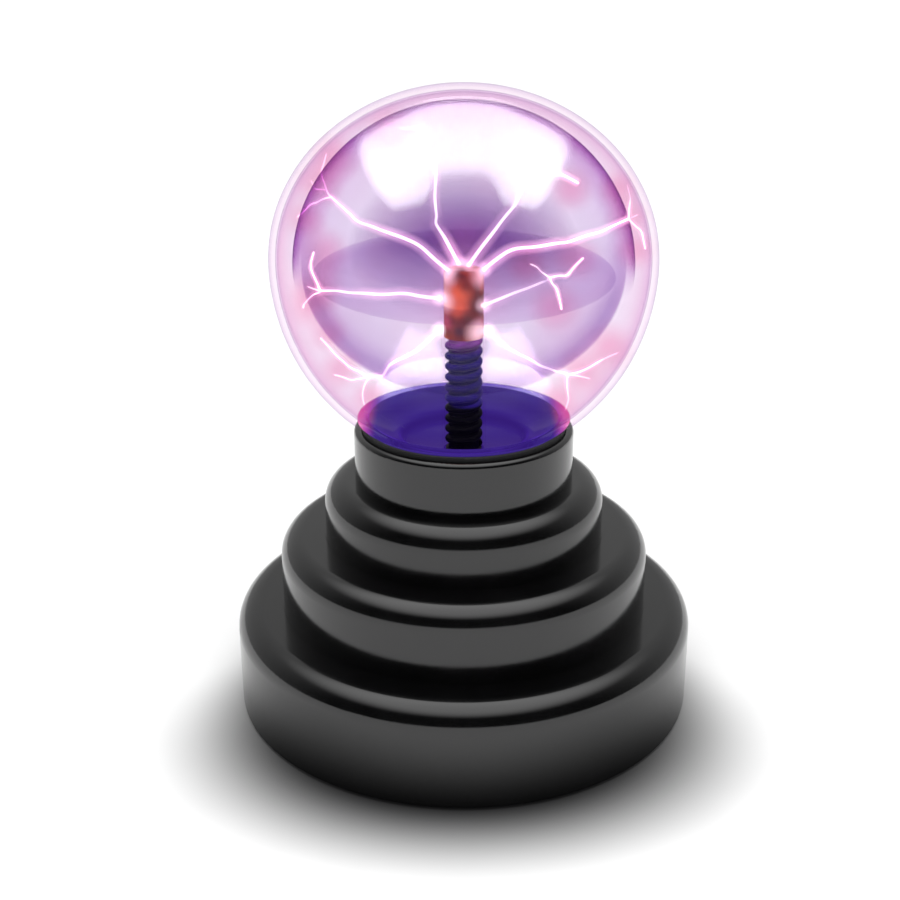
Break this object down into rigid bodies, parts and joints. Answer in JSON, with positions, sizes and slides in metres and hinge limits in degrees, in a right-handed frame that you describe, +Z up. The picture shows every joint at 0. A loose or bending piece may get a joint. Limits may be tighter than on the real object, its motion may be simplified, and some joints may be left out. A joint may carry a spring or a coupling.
{
  "type": "plasma ball",
  "caption": "Desk-top plasma ball: a clear blown-glass globe with a central electrode stands on a stepped round gloss black base with a rear slide switch, power inlet and underside battery bay.",
  "frame": {"origin": "middle of the footprint, on the table under the rubber feet", "axes": "+Z up along the axis of the globe and base; -Y is the front; +Y is the back, with the switch and power inlet"},
  "size_m": [0.1014, 0.1014, 0.1341],
  "materials": {
    "gloss_black": "piano-gloss black ABS",
    "satin_black": "fine-spark textured black ABS",
    "rubber_black": "matte black rubber",
    "clear_glass": "clear blown soda glass, lit from inside by the discharge",
    "copper": "copper-coloured electrode cap",
    "dark_wire": "black enamelled winding",
    "core_rod": "black insulating rod",
    "brass": "plain brass",
    "cell_jacket": "plain printed battery sleeve",
    "plated_steel": "nickel-plated spring steel",
    "screw_steel": "zinc-plated steel",
    "board_green": "green solder resist",
    "component_black": "moulded epoxy",
    "ferrite": "sintered ferrite",
    "bobbin_white": "nylon bobbin",
    "copper_winding": "enamelled copper winding",
    "heat_sink_aluminium": "extruded aluminium",
    "capacitor_sleeve": "shrink sleeve",
    "film_red": "dipped film capacitor",
    "resistor_tan": "banded resistor body",
    "lead_white": "silicone lead",
    "lead_red": "PVC lead",
    "lead_black": "PVC lead",
    "knob_black": "satin black switch knob"
  },
  "bodies": {
    "base": {"base_plate": "satin_black", "battery_cells": "cell_jacket", "battery_contacts": "plated_steel", "battery_leads": "lead_red", "battery_springs": "plated_steel", "board_screws": "screw_steel", "bottom_tier": "gloss_black", "case_screws": "screw_steel", "collar": "gloss_black", "collar_screws": "screw_steel", "control_board": "board_green", "control_leads": "lead_black", "driver_board": "board_green", "electrode_cap": "copper", "electrode_coil": "dark_wire", "electrode_core": "core_rod", "electrode_sleeve": "rubber_black", "electrode_terminal": "brass", "exhaust_tip": "clear_glass", "film_capacitor": "film_red", "glass_globe": "clear_glass", "glass_stem": "clear_glass", "globe_cradle": "satin_black", "globe_gasket": "rubber_black", "heat_sink": "heat_sink_aluminium", "high_voltage_lead": "lead_white", "middle_tier": "gloss_black", "power_socket": "component_black", "power_transistor": "component_black", "reservoir_capacitor": "capacitor_sleeve", "resistors": "resistor_tan", "rubber_feet": "rubber_black", "socket_pin": "brass", "switch_body": "component_black", "timer_chip": "component_black", "transformer_base": "component_black", "transformer_bobbin": "bobbin_white", "transformer_core": "ferrite", "transformer_winding": "copper_winding", "upper_tier": "gloss_black"},
    "door": {"battery_door": "satin_black"},
    "knob": {"switch_knob": "knob_black"}
  },
  "joints": [
    {"name": "battery_door_hinge", "type": "hinge", "parent": "base", "child": "door", "pos_m": [-0.0245, 0, 0.001], "axis": [0, 1, 0], "range_deg": [0, 80]},
    {"name": "power_switch", "type": "slide", "parent": "base", "child": "knob", "axis": [1, 0, 0], "range_m": [-0.004, 0]}
  ]
}
